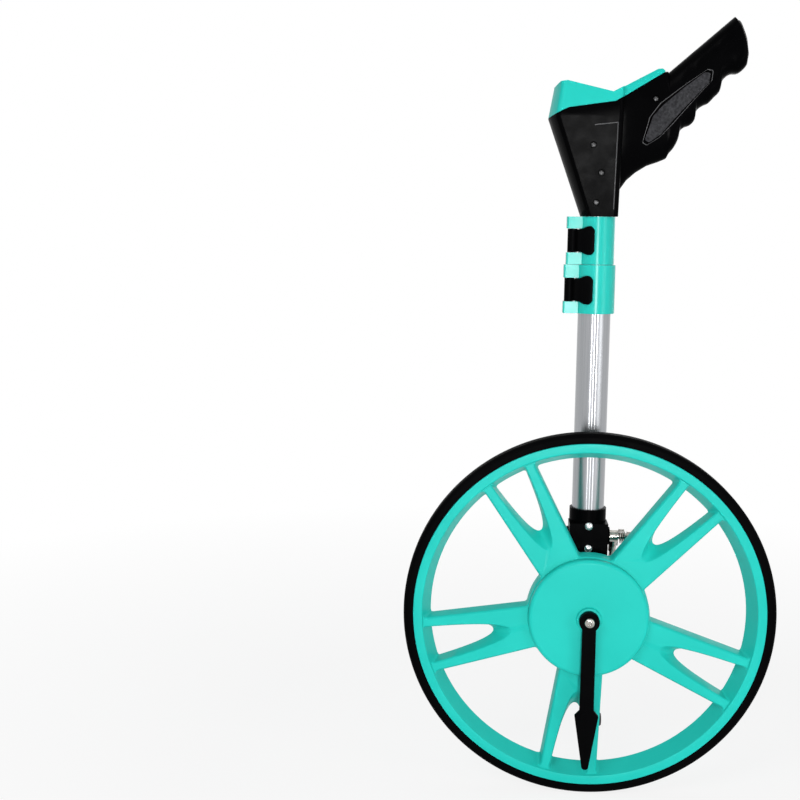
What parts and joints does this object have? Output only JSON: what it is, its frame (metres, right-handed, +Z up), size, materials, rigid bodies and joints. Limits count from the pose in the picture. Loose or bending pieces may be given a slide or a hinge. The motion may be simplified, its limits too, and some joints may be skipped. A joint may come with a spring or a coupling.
{
  "type": "measuring_wheel",
  "caption": "Telescopic distance measuring wheel with teal spoked wheel, hanging pointer, sliding silver tubes with lever clamps, fold-out stand and a pistol-grip display head",
  "frame": {"origin": "on the ground, in the middle of the whole object's outline", "axes": "+Z up along the tubes, +Y from the wheel's front face to the stand, +X towards the grip"},
  "size_m": [0.3184, 0.1814, 0.6645],
  "materials": {
    "teal": "gloss",
    "black": "satin gloss",
    "tyre": "matt",
    "rubber": "matt",
    "grip_grey": "matt",
    "sleeve_grey": "matt",
    "silver_tube": "satin anodised",
    "steel": "plated",
    "window": "gloss",
    "panel": "satin",
    "board": "satin",
    "cell": "satin",
    "button": "matt"
  },
  "bodies": {
    "frame": {"axle": "steel", "front_spacer": "steel", "rear_spacer": "steel", "axle_washer": "steel", "axle_nut": "steel", "pointer_screw": "steel", "bracket": "black", "counter_sensor": "board", "bracket_rivet_1": "steel", "bracket_rivet_2": "steel", "lower_tube": "silver_tube", "lower_clamp": "teal", "lower_clamp_pin": "steel", "stand_bolt": "steel", "stand_nut": "steel", "stand_spring": "steel"},
    "wheel": {"tyre": "tyre", "wheel_moulding": "teal", "hub_cap": "teal", "bearing_front": "steel", "bearing_rear": "steel", "counter_magnet_ring": "steel"},
    "pointer": {"pointer": "black"},
    "lower_lever": {"lower_clamp_lever": "black"},
    "middle": {"middle_tube": "silver_tube", "upper_clamp": "teal", "upper_clamp_pin": "steel"},
    "upper_lever": {"upper_clamp_lever": "black"},
    "upper": {"upper_tube": "silver_tube", "head_front_shell": "black", "head_rear_shell": "black", "head_screw_1": "steel", "head_screw_2": "steel", "head_screw_3": "steel", "head_screw_4": "steel", "grip_inlay_front": "grip_grey", "grip_inlay_rear": "grip_grey", "display_cover": "teal", "display_window": "window", "display_panel": "panel", "main_board": "board", "switch_board": "board", "battery_1": "cell", "battery_2": "cell", "battery_door": "black"},
    "stand": {"stand_knuckle": "black", "stand_rod": "steel", "stand_sleeve": "sleeve_grey", "stand_foot_bar": "black", "stand_foot_tip_left": "rubber", "stand_foot_tip_right": "rubber"},
    "button_one": {"button_1": "button"},
    "button_two": {"button_2": "button"},
    "button_three": {"button_3": "button"}
  },
  "joints": [
    {"name": "wheel_spin", "type": "hinge", "parent": "frame", "child": "wheel", "pos_m": [0, -0.0637, 0.15915], "axis": [0, 1, 0], "continuous": true},
    {"name": "pointer_swing", "type": "hinge", "parent": "frame", "child": "pointer", "pos_m": [0, -0.0637, 0.15915], "axis": [0, 1, 0], "continuous": true},
    {"name": "lower_lever_swing", "type": "hinge", "parent": "frame", "child": "lower_lever", "pos_m": [-0.0224, -0.0317, 0.4374], "axis": [0, 0, -1], "range_deg": [0, 105]},
    {"name": "middle_slide", "type": "slide", "parent": "frame", "child": "middle", "axis": [0, 0, 1], "range_m": [0, 0.165]},
    {"name": "upper_lever_swing", "type": "hinge", "parent": "middle", "child": "upper_lever", "pos_m": [-0.0208, -0.0317, 0.4792], "axis": [0, 0, -1], "range_deg": [0, 105]},
    {"name": "upper_slide", "type": "slide", "parent": "middle", "child": "upper", "axis": [0, 0, 1], "range_m": [0, 0.165]},
    {"name": "stand_swing", "type": "hinge", "parent": "frame", "child": "stand", "pos_m": [0.0233, -0.0277, 0.2205], "axis": [1, 0, 0], "range_deg": [0, 140]},
    {"name": "button_one_press", "type": "slide", "parent": "upper", "child": "button_one", "axis": [0.47, 0, -0.8827], "range_m": [0, 0.001], "stiffness_N_per_m": 300},
    {"name": "button_two_press", "type": "slide", "parent": "upper", "child": "button_two", "axis": [0.47, 0, -0.8827], "range_m": [0, 0.001], "stiffness_N_per_m": 300},
    {"name": "button_three_press", "type": "slide", "parent": "upper", "child": "button_three", "axis": [0.47, 0, -0.8827], "range_m": [0, 0.001], "stiffness_N_per_m": 300}
  ]
}
